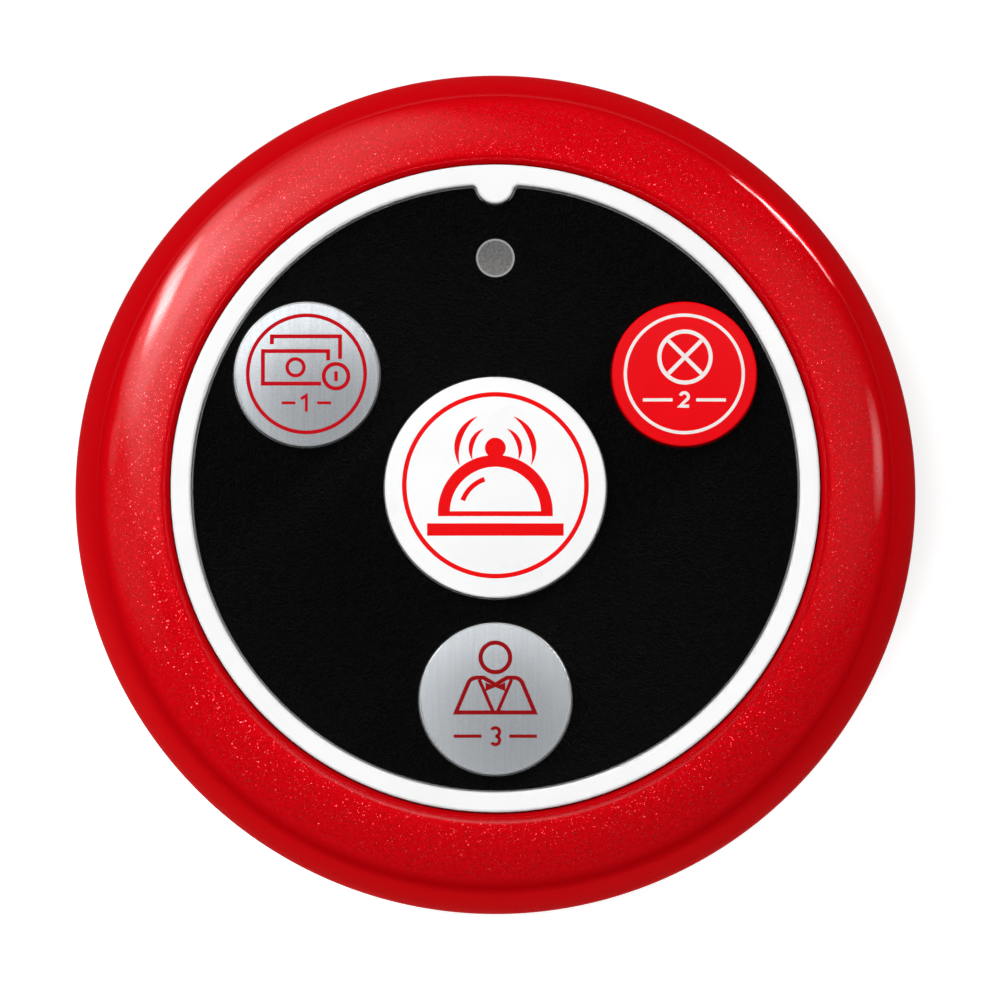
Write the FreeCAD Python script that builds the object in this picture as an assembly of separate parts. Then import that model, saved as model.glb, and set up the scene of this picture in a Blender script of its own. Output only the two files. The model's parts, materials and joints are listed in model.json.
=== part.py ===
import FreeCAD
import Part
import math
import os

# Waiter call button: a round table pager with four sprung keys.
# Millimetres, +Z up, origin on the table under the middle of the body.
# +Y is the side of the status lamp, so the keys read upright seen from -Y.

# ---------------------------------------------------------------- driving dimensions
# The sizes build outwards from the keys: the plate, trim ring and rim follow them.

# Rim (upper housing): crown, rounded side and the curve that tucks under it.
rim_width = 10.15
side_radius = 8.4
under_radius = 11.0
crown_radius = 14.0
shoulder_angle = 35.0
shell_wall = 2.0
lip_round = 0.5
lip_drop = 0.15
collar_wall = 1.5

# Base cover.
foot_proud = 0.8
foot_recess = 0.6
foot_diameter = 8.0
foot_fit = 0.05
foot_margin = 2.0
foot_angles = (0.0, 90.0, 180.0, 270.0)
foot_edge = 0.3
base_floor = 2.0
base_draft = 1.2
base_edge_radius = 2.0
seam_height = 3.4
seam_reveal = 0.3
tongue_wall = 1.2
tongue_height = 1.8
tongue_clearance = 0.15
post_height = 4.2
rib_width = 1.0
rib_height = 2.0
rib_overlap = 1.0

# Coin cell and its twist cap.
cell_diameter = 24.5
cell_thickness = 5.0
cell_edge_round = 0.5
cell_can_gap = 0.35
cell_side_play = 0.3
cell_play = 0.1
cap_plate = 1.8
cap_skirt_wall = 0.8
cap_skirt_height = 2.6
cap_rim = 1.6
cap_clearance = 0.1
lug_reach = 1.1
lug_thickness = 1.2
lug_count = 3
lug_angle = 28.0
slot_angle = 34.0
cap_turn = 45.0
stop_angle = 6.0
stop_clearance_angle = 1.0
ledge_thickness = 1.2
well_clearance = 0.15
well_headroom = 0.3
battery_wall = 1.4
coin_radius = 20.0
coin_slot_width = 2.0
coin_slot_depth = 1.0
seal_section = 0.9
seal_groove_side = 0.05
contact_height = 0.8
contact_strip = 0.25
contact_width = 3.0
contact_pad = 3.0
contact_run = 6.0
contact_tip = 1.5
side_contact_width = 4.0
side_contact_reach = 1.7

# Circuit board and what it carries.
board_gap = 0.25
board_thickness = 1.6
board_screw_inset = 5.0
board_screw_angles = (60.0, 180.0, 300.0)
switch_width = 6.0
switch_body_height = 3.3
switch_lid = 0.2
switch_lid_inset = 0.2
switch_corner = 0.5
switch_leg_width = 0.7
switch_leg_reach = 1.0
switch_leg_thickness = 0.3
switch_leg_pitch = 4.5
plunger_radius = 1.75
plunger_proud = 0.8
plunger_collar = 0.35
plunger_collar_thickness = 0.4
plunger_clearance = 0.1
switch_travel = 0.3
switch_headroom = 0.4

# Carrier frame with the pale trim ring.
trim_width = 2.05
trim_edge_round = 0.3
trim_gap = 0.1
tab_radius = 1.9
tab_reach = 1.95
pan_thickness = 1.2
ledge_width = 1.4
skirt_wall = 1.6
ear_drop = 1.4
ear_thickness = 1.6
ear_radius = 2.2
ear_angles = (0.0, 90.0, 180.0, 270.0)
guide_wall = 0.8
guide_height = 2.0
guide_clearance = 0.08
well_wall = 1.0
key_well_gap = 0.2
board_post_radius = 2.4

# Face plate.
plate_web = 1.15
plate_thickness = 1.6
plate_recess = 0.4
plate_gap = 0.2
plate_edge_round = 0.25
notch_corner = 0.6

# Keys.
call_key_diameter = 22.4
side_key_diameter = 14.7
order_key_diameter = 15.35
side_key_spacing = 3.75
side_key_angle = 31.0
order_key_spacing = 2.5
key_gap = 0.15
key_proud = 0.7
key_crown = 0.25
key_edge_round = 0.2
key_roof = 1.1
key_wall = 1.2
key_flange_overhang = 0.7
key_flange_thickness = 1.0
key_flange_gap = 0.1
key_bottom_gap = 0.5
key_travel = 1.2
key_post_radius = 2.2
key_pin_radius = 0.8
key_pin_clearance = 0.1

# Return springs.
spring_wire = 0.45
spring_active_turns = 3
spring_guide_gap = 0.3
spring_top_gap = 0.1

# Status lamp and its window.
lamp_inset = 7.45
lamp_radius = 1.5
lamp_collar_radius = 1.9
lamp_collar_height = 1.0
lamp_height = 4.1
window_diameter = 3.9
window_recess = 0.15
window_flange_overhang = 0.8
window_flange_thickness = 1.0
window_clearance = 0.06
window_chamfer = 0.12
window_lamp_gap = 0.3
window_guide_wall = 0.8

# Fasteners: one thread size, two lengths.
screw_radius = 1.1
screw_head_radius = 1.9
screw_head_height = 1.3
screw_head_round = 0.4
screw_clearance = 0.2
thread_clearance = 0.03
pilot_spare = 0.5
case_screw_grip = 5.5
short_screw_grip = 3.2
case_post_radius = 3.0
case_post_clearance = 0.8
case_boss_radius = 2.7
case_screw_angles = (45.0, 135.0, 225.0, 315.0)
counterbore_depth = 2.2
counterbore_clearance = 0.3
recess_length = 2.2
recess_width = 0.5
recess_depth = 0.7

# Small components under the board.
antenna_thickness = 0.8
antenna_inset = 3.5
antenna_drop = 3.0
antenna_bend = 1.5
antenna_start_angle = 224.0
antenna_span_angle = 58.0
chip_body_width = 3.9
chip_body_height = 1.5
chip_standoff = 0.1
chip_lead_pitch = 1.27
chip_lead_width = 0.4
chip_lead_thickness = 0.2
chip_lead_reach = 1.05
chip_lead_toe = 0.5
chip_end_margin = 0.55
encoder_leads_per_side = 7
encoder_inset = 7.7
encoder_angle = 15.0
radio_leads_per_side = 4
radio_inset = 6.3
radio_angle = 158.5
crystal_length = 11.0
crystal_width = 4.7
crystal_height = 3.5
crystal_inset = 8.0
resonator_radius = 4.2
resonator_brim = 0.4
resonator_height = 3.2
resonator_inset = 6.6
resonator_angle = -23.0
capacitor_radius = 2.5
capacitor_height = 5.0
capacitor_foot = 0.6
capacitor_groove_depth = 0.2
capacitor_groove_width = 0.4
capacitor_inset = 6.7
capacitor_angle = 122.5
resistor_length = 2.0
resistor_width = 1.25
resistor_height = 0.5
resistor_inset = 5.6
resistor_angle = 195.0
resistor_column_step = 3.2
resistor_row_step = 2.4
resistor_columns = 2
resistor_rows = 4

# ---------------------------------------------------------------- levels, bottom to top
base_z = foot_proud
floor_top = base_z + base_floor
seam_z = base_z + seam_height
cap_top = base_z + cap_plate
ledge_z = cap_top + cap_clearance
ledge_top = ledge_z + ledge_thickness
lug_z = ledge_top + cap_clearance
cell_z = cap_top + cell_play
cell_top = cell_z + cell_thickness
board_z = cell_top + contact_height
board_top = board_z + board_thickness
plunger_top = board_top + switch_body_height + switch_lid + plunger_proud
pan_z = board_top + switch_body_height + switch_lid + switch_headroom
pan_top = pan_z + pan_thickness
flange_z = pan_top + key_travel + key_bottom_gap
plate_z = flange_z + key_flange_thickness + key_flange_gap
face_z = plate_z + plate_thickness
crest_z = face_z + plate_recess
lip_z = crest_z - lip_drop
key_rim_z = face_z + key_proud
key_roof_z = key_rim_z - key_roof
post_z = plunger_top + key_travel - switch_travel
ear_top = pan_z - ear_drop
ear_z = ear_top - ear_thickness
joint_z = floor_top + post_height
head_seat_z = base_z + counterbore_depth

# ---------------------------------------------------------------- radii that other pieces share
call_key_radius = call_key_diameter / 2
side_key_radius = side_key_diameter / 2
order_key_radius = order_key_diameter / 2
side_key_pitch = call_key_radius + side_key_spacing + side_key_radius
order_key_pitch = call_key_radius + order_key_spacing + order_key_radius
trim_inner = plate_web + max(side_key_pitch + side_key_radius, order_key_pitch + order_key_radius)
trim_radius = trim_inner + trim_width
body_radius = trim_radius + rim_width
bore_radius = trim_radius + trim_gap
collar_radius = bore_radius + collar_wall
board_radius = trim_radius - skirt_wall - board_gap
board_screw_radius = board_radius - board_screw_inset
antenna_radius = board_radius - antenna_inset
case_screw_radius = board_radius + case_post_clearance + case_post_radius
ear_screw_radius = collar_radius + screw_radius
cell_radius = cell_diameter / 2
skirt_inner = cell_radius + cell_side_play
skirt_outer = skirt_inner + cap_skirt_wall
lug_radius = skirt_outer + lug_reach
cap_radius = skirt_outer + cap_rim
cap_bore = cap_radius + cap_clearance
ledge_radius = skirt_outer + well_clearance
chamber_radius = lug_radius + well_clearance
battery_outer = cap_bore + battery_wall
lug_pitch = 360.0 / lug_count
clearance_hole = screw_radius + screw_clearance
pilot_hole = screw_radius + thread_clearance
guide_inner = key_post_radius + guide_clearance
guide_outer = guide_inner + guide_wall
spring_radius = guide_outer + spring_guide_gap + spring_wire / 2
window_radius = window_diameter / 2
window_hole = window_radius + window_clearance
window_flange = window_radius + window_flange_overhang
tab_y = trim_inner + tab_radius - tab_reach
lamp_y = trim_inner - lamp_inset


def polar(radius, angle):
    turn = math.radians(angle)
    return radius * math.cos(turn), radius * math.sin(turn)


case_screw_places = [polar(case_screw_radius, angle) for angle in case_screw_angles]
ear_screw_places = [polar(ear_screw_radius, angle) for angle in ear_angles]
board_screw_places = [polar(board_screw_radius, angle) for angle in board_screw_angles]
encoder_place = polar(board_radius - encoder_inset, encoder_angle)
radio_place = polar(board_radius - radio_inset, radio_angle)

KEYS = {
    "call": (0.0, 0.0, call_key_radius),
    "pay": (*polar(side_key_pitch, 180 - side_key_angle), side_key_radius),
    "cancel": (*polar(side_key_pitch, side_key_angle), side_key_radius),
    "order": (*polar(order_key_pitch, -90), order_key_radius),
}
WAYS = {"in": (-1, 0), "out": (1, 0), "up": (0, 1), "down": (0, -1)}


# ---------------------------------------------------------------- making and joining solids
def vector(x, y, z):
    return FreeCAD.Vector(x, y, z)


def revolve(start, *steps):
    """Turns a closed outline round Z. A step is the next (radius, height), or a pair
    of them for an arc through the first to the second."""
    edges = []
    here = vector(start[0], 0, start[1])
    for step in (*steps, start):
        if isinstance(step[0], tuple):
            middle, there = (vector(r, 0, z) for r, z in step)
            edges.append(Part.Arc(here, middle, there).toShape())
        else:
            there = vector(step[0], 0, step[1])
            edges.append(Part.makeLine(here, there))
        here = there
    face = Part.Face(Part.Wire(edges))
    return face.revolve(vector(0, 0, 0), vector(0, 0, 1), 360)


def rod(radius, bottom, top, x=0.0, y=0.0):
    return Part.makeCylinder(radius, top - bottom, vector(x, y, bottom))


def tube(outer, inner, bottom, top, x=0.0, y=0.0):
    return rod(outer, bottom, top, x, y).cut(rod(inner, bottom, top, x, y))


def block(length, width, bottom, top, x=0.0, y=0.0):
    corner = vector(x - length / 2, y - width / 2, bottom)
    return Part.makeBox(length, width, top - bottom, corner)


def slab(x_from, x_to, width, bottom, top, y=0.0):
    return block(abs(x_to - x_from), width, bottom, top, (x_from + x_to) / 2, y)


def sector(outer, inner, bottom, top, middle, span):
    """A piece of a ring, span degrees wide about the direction middle."""
    edge = Part.makeLine(vector(inner, 0, bottom), vector(outer, 0, bottom))
    face = edge.revolve(vector(0, 0, 0), vector(0, 0, 1), span)
    wedge = face.extrude(vector(0, 0, top - bottom))
    return turned(wedge, middle - span / 2)


def turned(shape, angle):
    copy = shape.copy()
    copy.rotate(vector(0, 0, 0), vector(0, 0, 1), angle)
    return copy


def moved(shape, x, y, z=0.0):
    copy = shape.copy()
    copy.translate(vector(x, y, z))
    return copy


def fused(shapes):
    return shapes[0].multiFuse(shapes[1:]).removeSplitter()


def cut_all(shape, tools):
    return shape.cut(Part.Compound(tools))


def rounded(radius, height, size, going, leaving):
    """Steps that round a square corner of an outline which comes to it going one
    way (in, out, up or down) and leaves it another."""
    go_r, go_z = WAYS[going]
    leave_r, leave_z = WAYS[leaving]
    share = size * (1 - math.sqrt(0.5))
    start = (radius - size * go_r, height - size * go_z)
    middle = (radius + share * (leave_r - go_r), height + share * (leave_z - go_z))
    end = (radius + size * leave_r, height + size * leave_z)
    return start, (middle, end)


# ---------------------------------------------------------------- rim (upper housing)
def rim_curve(inset):
    """The rim's outline moved inwards by inset: its arc centres and where they meet.
    Angles are measured from straight up."""
    lean = math.radians(shoulder_angle)
    side_r = side_radius - inset
    under_r = under_radius - inset
    crown_r = crown_radius - inset
    side_x = body_radius - side_radius
    under_x = body_radius - under_radius
    crown_x = side_x - (crown_radius - side_radius) * math.sin(lean)
    lip_x = bore_radius + lip_round
    rise = math.sqrt(crown_radius**2 - (lip_x - crown_x) ** 2)
    crown_z = lip_z - rise
    waist_z = crown_z + (crown_radius - side_radius) * math.cos(lean)

    def on_side(angle):
        return side_x + side_r * math.sin(angle), waist_z + side_r * math.cos(angle)

    def on_crown(radius):
        return radius, crown_z + math.sqrt(crown_r**2 - (radius - crown_x) ** 2)

    def on_under(height):
        return under_x + math.sqrt(under_r**2 - (waist_z - height) ** 2), height

    return {
        "crown": on_crown,
        "under": on_under,
        "waist": (body_radius - inset, waist_z),
        "shoulder": on_side(lean),
        "side_middle": on_side((lean + math.pi / 2) / 2),
    }


def rim_steps(inset, inner_radius):
    """The outline's steps from the seam, over the waist and shoulder, to inner_radius."""
    curve = rim_curve(inset)
    middle_z = (seam_z + curve["waist"][1]) / 2
    middle_x = (inner_radius + curve["shoulder"][0]) / 2
    return (
        curve["under"](seam_z),
        (curve["under"](middle_z), curve["waist"]),
        (curve["side_middle"], curve["shoulder"]),
        (curve["crown"](middle_x), curve["crown"](inner_radius)),
    )


def upper_housing():
    """The rim: a curved shell with a collar that locates the carrier frame, four
    bosses for the frame's screws and four for the case screws."""
    lip_top = rim_curve(0)["crown"](bore_radius + lip_round)[1]
    lip = rounded(bore_radius, lip_top, lip_round, "in", "down")
    skin = revolve((bore_radius, seam_z), *rim_steps(0, bore_radius + lip_round), lip[1])
    hollow = revolve((collar_radius, seam_z), *rim_steps(shell_wall, collar_radius))
    shell = cut_all(skin, [hollow, tube(collar_radius, bore_radius, seam_z, ear_top)])
    rods = []
    holes = []
    for x, y in ear_screw_places:
        rods.append(rod(ear_radius, ear_top, crest_z, x, y))
        holes.append(rod(pilot_hole, ear_top, ear_top + short_screw_grip + pilot_spare, x, y))
    for x, y in case_screw_places:
        rods.append(rod(case_boss_radius, joint_z, crest_z, x, y))
        holes.append(rod(pilot_hole, joint_z, joint_z + case_screw_grip + pilot_spare, x, y))
    bosses = skin.common(Part.Compound(rods))
    return cut_all(fused([shell, *bosses.Solids]), holes)


# ---------------------------------------------------------------- carrier frame, face plate
def plate_outline(gap):
    """The trim ring's opening, a gap smaller all round: a disc with a notch for the tab,
    and round corners where the two meet."""
    disc = rod(trim_inner - gap, plate_z, face_z)
    notch = rod(tab_radius + gap, plate_z, face_z, 0, tab_y)
    outline = min(disc.cut(notch).Faces, key=lambda face: face.CenterOfMass.z)
    corner = notch_corner - gap
    return outline.makeOffset2D(-corner).makeOffset2D(corner)


def trim_frame():
    """The pale frame: its top edge is the trim ring, its pan carries keys, springs
    and window, its skirt and ears fasten it in the rim, its posts carry the board."""
    frame = revolve(
        (0, pan_z),
        (trim_radius - skirt_wall, pan_z),
        (trim_radius - skirt_wall, ear_z),
        (trim_radius, ear_z),
        *rounded(trim_radius, crest_z, trim_edge_round, "up", "in"),
        (0, crest_z),
    )
    frame = frame.cut(plate_outline(0).extrude(vector(0, 0, crest_z - plate_z)))
    crest = max(frame.Faces, key=lambda face: face.CenterOfMass.z)
    opening = min(crest.Wires, key=lambda wire: wire.BoundBox.DiagonalLength)
    frame = frame.makeFillet(trim_edge_round, opening.Edges)
    frame = frame.cut(rod(trim_inner - ledge_width, pan_top, plate_z))
    inside = rod(trim_radius - trim_width / 2, pan_z, plate_z)
    wells = [
        rod(well_radius(radius) + well_wall, pan_top, plate_z, x, y).common(inside)
        for x, y, radius in KEYS.values()
    ]
    hollows = [rod(well_radius(radius), pan_top, plate_z, x, y) for x, y, radius in KEYS.values()]
    frame = cut_all(fused([frame, *wells]), hollows)
    solids = [frame]
    holes = []
    for x, y, radius in KEYS.values():
        solids.append(rod(guide_outer, pan_top, pan_top + guide_height, x, y))
        holes.append(rod(guide_inner, pan_z, pan_top + guide_height, x, y))
        for side in (-1, 1):
            pin_x = x + side * key_pin_offset(radius)
            holes.append(rod(key_pin_radius + key_pin_clearance, pan_z, pan_top, pin_x, y))
    window_seat = plate_z - window_flange_thickness
    solids.append(rod(window_hole + window_guide_wall, pan_top, window_seat, 0, lamp_y))
    holes.append(rod(window_hole, pan_z, window_seat, 0, lamp_y))
    for x, y in board_screw_places:
        solids.append(rod(board_post_radius, board_top, pan_z, x, y))
        holes.append(rod(pilot_hole, board_top, board_top + short_screw_grip + pilot_spare, x, y))
    arm_start = trim_radius - skirt_wall / 2
    for angle in ear_angles:
        arm = slab(arm_start, ear_screw_radius, 2 * ear_radius, ear_z, ear_top)
        x, y = polar(ear_screw_radius, angle)
        solids += [turned(arm, angle), rod(ear_radius, ear_z, ear_top, x, y)]
        holes.append(rod(clearance_hole, ear_z, ear_top, x, y))
    return cut_all(fused(solids), holes)


def face_plate():
    """The dark plate: holes for the keys and a chamfered one for the window."""
    plate = plate_outline(plate_gap).extrude(vector(0, 0, plate_thickness))
    top = max(plate.Faces, key=lambda face: face.CenterOfMass.z)
    plate = plate.makeFillet(plate_edge_round, top.Edges)
    chamfer_place = vector(0, lamp_y, face_z - window_chamfer)
    chamfer = Part.makeCone(window_hole, window_hole + window_chamfer, window_chamfer, chamfer_place)
    holes = [rod(window_hole, plate_z, face_z, 0, lamp_y), chamfer]
    for x, y, radius in KEYS.values():
        holes.append(rod(radius + key_gap, plate_z, face_z, x, y))
    return cut_all(plate, holes)


def led_window():
    """The lamp's window: a clear rod with a flange that the face plate holds down."""
    bottom = board_top + lamp_height + window_lamp_gap
    flange_bottom = plate_z - window_flange_thickness
    window = revolve(
        (0, bottom),
        (window_radius, bottom),
        (window_radius, flange_bottom),
        (window_flange, flange_bottom),
        (window_flange, plate_z),
        (window_radius, plate_z),
        (window_radius, face_z - window_recess),
        (0, face_z - window_recess),
    )
    return moved(window, 0, lamp_y)


# ---------------------------------------------------------------- keys, springs, switches
def well_radius(key_radius):
    return key_radius + key_flange_overhang + key_well_gap


def key_pin_offset(radius):
    """How far a key's guide pins stand from its middle: under the middle of its flange."""
    return (radius - key_wall + radius + key_flange_overhang) / 2


def key_cap(x, y, radius):
    """A hollow key: crowned roof, holding flange, middle post and two guide pins."""
    inside = radius - key_wall
    flange = radius + key_flange_overhang
    top_edge = radius - key_edge_round
    crown_sphere = (top_edge**2 + key_crown**2) / (2 * key_crown)
    crown_z = key_rim_z + key_crown - crown_sphere
    crown_middle_z = crown_z + math.sqrt(crown_sphere**2 - (top_edge / 2) ** 2)
    cap = revolve(
        (0, post_z),
        (key_post_radius, post_z),
        (key_post_radius, key_roof_z),
        (inside, key_roof_z),
        (inside, flange_z),
        (flange, flange_z),
        (flange, flange_z + key_flange_thickness),
        (radius, flange_z + key_flange_thickness),
        *rounded(radius, key_rim_z, key_edge_round, "up", "in"),
        ((top_edge / 2, crown_middle_z), (0, key_rim_z + key_crown)),
    )
    pins = [
        rod(key_pin_radius, pan_z, flange_z + key_flange_thickness / 2, side * key_pin_offset(radius))
        for side in (-1, 1)
    ]
    return moved(fused([cap, *pins]), x, y)


def half_turn(side, start_z, end_z):
    """Half a coil from one side (1 is +X, -1 is -X) to the other. It is a plane arc,
    tilted to climb from start_z to end_z, and square to Y where the next one meets it."""
    start = vector(side * spring_radius, 0, start_z)
    middle = vector(0, 0, (start_z + end_z) / 2)
    axis = vector(side * (end_z - start_z), 0, 2 * spring_radius)
    ring = Part.makeCircle(spring_wire / 2, start, vector(0, 1, 0))
    return Part.Face(Part.Wire([ring])).revolve(middle, axis, 180)


def return_spring(x, y):
    """A coil round the guide of the key's post, from the pan to the key's roof, with
    a level half turn at each end."""
    bottom = pan_top + spring_wire / 2
    top = key_roof_z - spring_top_gap - spring_wire / 2
    climbing = 2 * spring_active_turns
    levels = [bottom + (top - bottom) * number / climbing for number in range(climbing + 1)]
    levels = [bottom, *levels, top]
    halves = [
        half_turn((-1) ** number, *pair)
        for number, pair in enumerate(zip(levels, levels[1:]))
    ]
    return moved(fused(halves), x, y)


def switch_body(x, y):
    """The switch's case on its four legs, with a well for the plunger's collar."""
    top = board_top + switch_body_height
    case = block(switch_width, switch_width, board_top, top)
    upright = [edge for edge in case.Edges if abs(edge.Length - switch_body_height) < 1e-6]
    case = case.makeChamfer(switch_corner, upright)
    well = rod(
        plunger_radius + plunger_collar + plunger_clearance,
        top - plunger_collar_thickness - switch_travel - plunger_clearance,
        top,
    )
    legs = [
        block(
            switch_leg_reach,
            switch_leg_width,
            board_top,
            board_top + switch_leg_thickness,
            x_side * (switch_width + switch_leg_reach) / 2,
            y_side * switch_leg_pitch / 2,
        )
        for x_side in (-1, 1)
        for y_side in (-1, 1)
    ]
    return moved(fused([case.cut(well), *legs]), x, y)


def switch_lid_plate(x, y):
    side = switch_width - 2 * switch_lid_inset
    bottom = board_top + switch_body_height
    plate = block(side, side, bottom, bottom + switch_lid)
    hole = rod(plunger_radius + plunger_clearance, bottom, bottom + switch_lid)
    return moved(plate.cut(hole), x, y)


def plunger(x, y):
    """The switch's round stem; its collar, under the lid, keeps it in."""
    collar_top = board_top + switch_body_height
    stem = rod(plunger_radius, collar_top - plunger_collar_thickness, plunger_top)
    collar = rod(plunger_radius + plunger_collar, collar_top - plunger_collar_thickness, collar_top)
    return moved(fused([stem, collar]), x, y)


# ---------------------------------------------------------------- circuit board
def circuit_board():
    board = rod(board_radius, board_z, board_top)
    holes = [rod(clearance_hole, board_z, board_top, x, y) for x, y in board_screw_places]
    return cut_all(board, holes)


def status_lamp():
    lamp = revolve(
        (0, board_top),
        (lamp_collar_radius, board_top),
        (lamp_collar_radius, board_top + lamp_collar_height),
        (lamp_radius, board_top + lamp_collar_height),
        *rounded(lamp_radius, board_top + lamp_height, lamp_radius, "up", "in"),
    )
    return moved(lamp, 0, lamp_y)


def leaded_chip(x, y, leads_per_side):
    """A chip under the board, with gull-wing leads along both long sides."""
    length = (leads_per_side - 1) * chip_lead_pitch + 2 * chip_end_margin
    body_top = board_z - chip_standoff
    body = block(chip_body_width, length, body_top - chip_body_height, body_top)
    lead_z = body_top - chip_body_height / 2
    lead_low = lead_z - chip_lead_thickness / 2
    lead_high = lead_z + chip_lead_thickness / 2
    toe_low = board_z - chip_lead_thickness
    pieces = [body]
    for side in (-1, 1):
        root_x = side * chip_body_width / 2
        toe_x = root_x + side * chip_lead_reach
        knee_x = toe_x - side * chip_lead_toe
        drop_x = knee_x - side * chip_lead_thickness
        for number in range(leads_per_side):
            lead_y = (number - (leads_per_side - 1) / 2) * chip_lead_pitch
            pieces += [
                slab(root_x, knee_x, chip_lead_width, lead_low, lead_high, lead_y),
                slab(drop_x, knee_x, chip_lead_width, lead_low, board_z, lead_y),
                slab(knee_x, toe_x, chip_lead_width, toe_low, board_z, lead_y),
            ]
    return moved(fused(pieces), x, y)


def crystal_can():
    radius = crystal_width / 2
    reach = crystal_length / 2 - radius
    bottom = board_z - crystal_height
    pieces = [
        slab(-reach, reach, crystal_width, bottom, board_z),
        rod(radius, bottom, board_z, -reach),
        rod(radius, bottom, board_z, reach),
    ]
    return moved(fused(pieces), 0, board_radius - crystal_inset)


def resonator_can():
    bottom = board_z - resonator_height
    can = revolve(
        (0, bottom),
        (resonator_radius - resonator_brim, bottom),
        (resonator_radius, bottom + resonator_brim),
        (resonator_radius, board_z - resonator_brim),
        (resonator_radius + resonator_brim, board_z - resonator_brim),
        (resonator_radius + resonator_brim, board_z),
        (0, board_z),
    )
    return moved(can, *polar(board_radius - resonator_inset, resonator_angle))


def capacitor_can():
    """An upright capacitor under the board: square foot, and a can with a groove."""
    can_top = board_z - capacitor_foot
    bottom = board_z - capacitor_height
    groove_top = can_top - capacitor_groove_width
    groove_z = groove_top - capacitor_groove_width / 2
    groove_bottom = groove_top - capacitor_groove_width
    can = revolve(
        (0, bottom),
        (capacitor_radius - capacitor_groove_depth, bottom),
        (capacitor_radius, bottom + capacitor_groove_depth),
        (capacitor_radius, groove_bottom),
        ((capacitor_radius - capacitor_groove_depth, groove_z), (capacitor_radius, groove_top)),
        (capacitor_radius, can_top),
        (0, can_top),
    )
    foot = block(2 * capacitor_radius, 2 * capacitor_radius, can_top, board_z)
    return moved(fused([can, foot]), *polar(board_radius - capacitor_inset, capacitor_angle))


def chip_resistors():
    """Rows and columns of resistors, counted from the one next to the board's edge."""
    bottom = board_z - resistor_height
    first_x, first_y = polar(board_radius - resistor_inset, resistor_angle)
    return Part.Compound([
        block(
            resistor_length,
            resistor_width,
            bottom,
            board_z,
            first_x + column * resistor_column_step,
            first_y - row * resistor_row_step,
        )
        for column in range(resistor_columns)
        for row in range(resistor_rows)
    ])


def antenna():
    """A wire aerial: an arc hung under the board, both ends bent up to it."""
    axis_z = board_z - antenna_drop
    hinge_z = axis_z + antenna_bend
    ring = Part.makeCircle(antenna_thickness / 2, vector(antenna_radius, 0, axis_z), vector(0, 1, 0))
    section = Part.Face(Part.Wire([ring]))
    pieces = [section.revolve(vector(0, 0, 0), vector(0, 0, 1), antenna_span_angle)]
    for side, place in ((-1, 0), (1, antenna_span_angle)):
        bend = section.revolve(vector(0, 0, hinge_z), vector(1, 0, 0), side * 90)
        leg = rod(antenna_thickness / 2, hinge_z, board_z, antenna_radius, side * antenna_bend)
        pieces += [turned(bend, place), turned(leg, place)]
    return turned(fused(pieces), antenna_start_angle)


# ---------------------------------------------------------------- coin cell and contacts
def coin_cell():
    """A button cell: wide can below, smaller lid above with a step between them."""
    lid_radius = cell_radius - 2 * cell_can_gap
    step_z = cell_top - cell_can_gap
    return revolve(
        (0, cell_z),
        *rounded(cell_radius, cell_z, cell_edge_round, "out", "up"),
        (cell_radius, step_z),
        (lid_radius, step_z),
        (lid_radius, cell_top),
        (0, cell_top),
    )


def negative_contact():
    """A leaf soldered under the board, sprung down to the cell's lid."""
    root_x = -contact_run / 2
    touch_x = contact_run / 2
    points = [
        (root_x - contact_pad, board_z),
        (root_x, board_z),
        (touch_x, cell_top + contact_strip),
        (touch_x + contact_tip, cell_top + 2 * contact_strip),
        (touch_x + contact_tip, cell_top + contact_strip),
        (touch_x, cell_top),
        (root_x - contact_strip, board_z - contact_strip),
        (root_x - contact_pad, board_z - contact_strip),
    ]
    corners = [vector(x, -contact_width / 2, z) for x, z in points]
    face = Part.Face(Part.makePolygon([*corners, corners[0]]))
    return face.extrude(vector(0, contact_width, 0))


def positive_contact():
    """An angle under the board whose leg reaches down beside the cell's can."""
    near = cell_radius + cell_side_play / 2
    bottom = cap_top + cap_skirt_height + cell_play
    leg = block(side_contact_width, contact_strip, bottom, board_z, 0, near + contact_strip / 2)
    foot_y = near + side_contact_reach / 2
    foot = block(side_contact_width, side_contact_reach, board_z - contact_strip, board_z, 0, foot_y)
    return fused([leg, foot])


# ---------------------------------------------------------------- base cover and battery cap
seam_radius = rim_curve(0)["under"](seam_z)[0] - seam_reveal
flat_radius = seam_radius - base_draft
tongue_radius = rim_curve(shell_wall)["under"](seam_z)[0] - tongue_clearance
foot_pitch_radius = flat_radius - base_edge_radius - foot_margin - foot_diameter / 2
foot_places = [polar(foot_pitch_radius, angle) for angle in foot_angles]


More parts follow.
